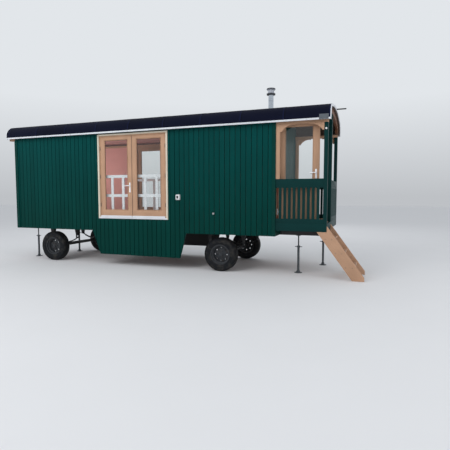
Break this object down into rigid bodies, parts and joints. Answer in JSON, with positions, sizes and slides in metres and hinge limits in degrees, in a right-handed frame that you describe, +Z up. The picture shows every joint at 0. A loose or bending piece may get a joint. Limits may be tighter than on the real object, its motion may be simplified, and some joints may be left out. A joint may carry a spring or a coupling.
{
  "type": "shepherds hut",
  "caption": "Timber living wagon of the shepherd's hut kind on a road trailer: bow roof, French windows, half-glazed end door, railed porch, plank stair and stove pipe.",
  "frame": {"origin": "middle of the whole object's footprint, on the ground", "axes": "+X along the hut from its closed back end towards the porch and stair, +Y from the near long side to the far one, +Z up"},
  "size_m": [8.615, 2.43, 4.0397],
  "materials": {
    "green_paint": "satin paint on grooved boards",
    "oiled_timber": "planed softwood with a clear oil",
    "white_paint": "satin paint",
    "roofing_felt": "mineral felt",
    "sawn_boards": "planed boards",
    "chassis_paint": "black chassis paint",
    "galvanised_steel": "dull zinc",
    "tyre_rubber": "weathered rubber",
    "wheel_paint": "dull black paint",
    "stainless_steel": "brushed",
    "lead_sheet": "dull",
    "black_iron": "dull black",
    "window_glass": "clear",
    "white_plastic": "moulded",
    "white_metal": "powder coated"
  },
  "bodies": {
    "hut": {"near_wall": "green_paint", "far_wall": "green_paint", "back_wall": "green_paint", "back_gable": "green_paint", "porch_wall": "green_paint", "porch_gable": "green_paint", "side_skirts": "green_paint", "porch_posts": "green_paint", "porch_edge_beams": "green_paint", "near_balustrade": "green_paint", "far_balustrade": "green_paint", "end_balustrade": "green_paint", "wall_plates": "oiled_timber", "window_frames": "oiled_timber", "window_leaves": "oiled_timber", "porch_casings": "oiled_timber", "door_frame": "oiled_timber", "stair_stringers": "oiled_timber", "stair_treads": "oiled_timber", "porch_bow": "oiled_timber", "eave_trims": "white_paint", "arch_trims": "white_paint", "window_guard_rails": "white_paint", "roof_covering": "roofing_felt", "roof_crown": "sawn_boards", "roof_shoulders": "sawn_boards", "cabin_floor": "sawn_boards", "porch_floor": "sawn_boards", "floor_bearers": "sawn_boards", "chassis_rails": "chassis_paint", "chassis_cross_members": "chassis_paint", "axles": "chassis_paint", "leaf_springs": "chassis_paint", "screw_props": "galvanised_steel", "chimney_pipe": "stainless_steel", "chimney_cowl": "stainless_steel", "chimney_flashing": "lead_sheet", "crown_rod": "black_iron", "window_glass": "window_glass", "wall_fittings": "white_plastic"},
    "entrance_door_leaf": {"entrance_door": "oiled_timber", "entrance_door_glass": "window_glass", "entrance_door_handles": "white_metal"},
    "near_back_road_wheel": {"near_back_tyre": "tyre_rubber", "near_back_wheel": "wheel_paint"},
    "near_front_road_wheel": {"near_front_tyre": "tyre_rubber", "near_front_wheel": "wheel_paint"},
    "far_back_road_wheel": {"far_back_tyre": "tyre_rubber", "far_back_wheel": "wheel_paint"},
    "far_front_road_wheel": {"far_front_tyre": "tyre_rubber", "far_front_wheel": "wheel_paint"}
  },
  "joints": [
    {"name": "entrance_door_hinge", "type": "hinge", "parent": "hut", "child": "entrance_door_leaf", "pos_m": [2.6265, -0.9955, 2.059], "axis": [0, 0, 1], "range_deg": [0, 90]},
    {"name": "near_back_wheel_spin", "type": "hinge", "parent": "hut", "child": "near_back_road_wheel", "pos_m": [-3.0825, -0.925, 0.36], "axis": [0, 1, 0], "continuous": true},
    {"name": "near_front_wheel_spin", "type": "hinge", "parent": "hut", "child": "near_front_road_wheel", "pos_m": [1.3925, -0.925, 0.36], "axis": [0, 1, 0], "continuous": true},
    {"name": "far_back_wheel_spin", "type": "hinge", "parent": "hut", "child": "far_back_road_wheel", "pos_m": [-3.0825, 0.925, 0.36], "axis": [0, 1, 0], "continuous": true},
    {"name": "far_front_wheel_spin", "type": "hinge", "parent": "hut", "child": "far_front_road_wheel", "pos_m": [1.3925, 0.925, 0.36], "axis": [0, 1, 0], "continuous": true}
  ]
}
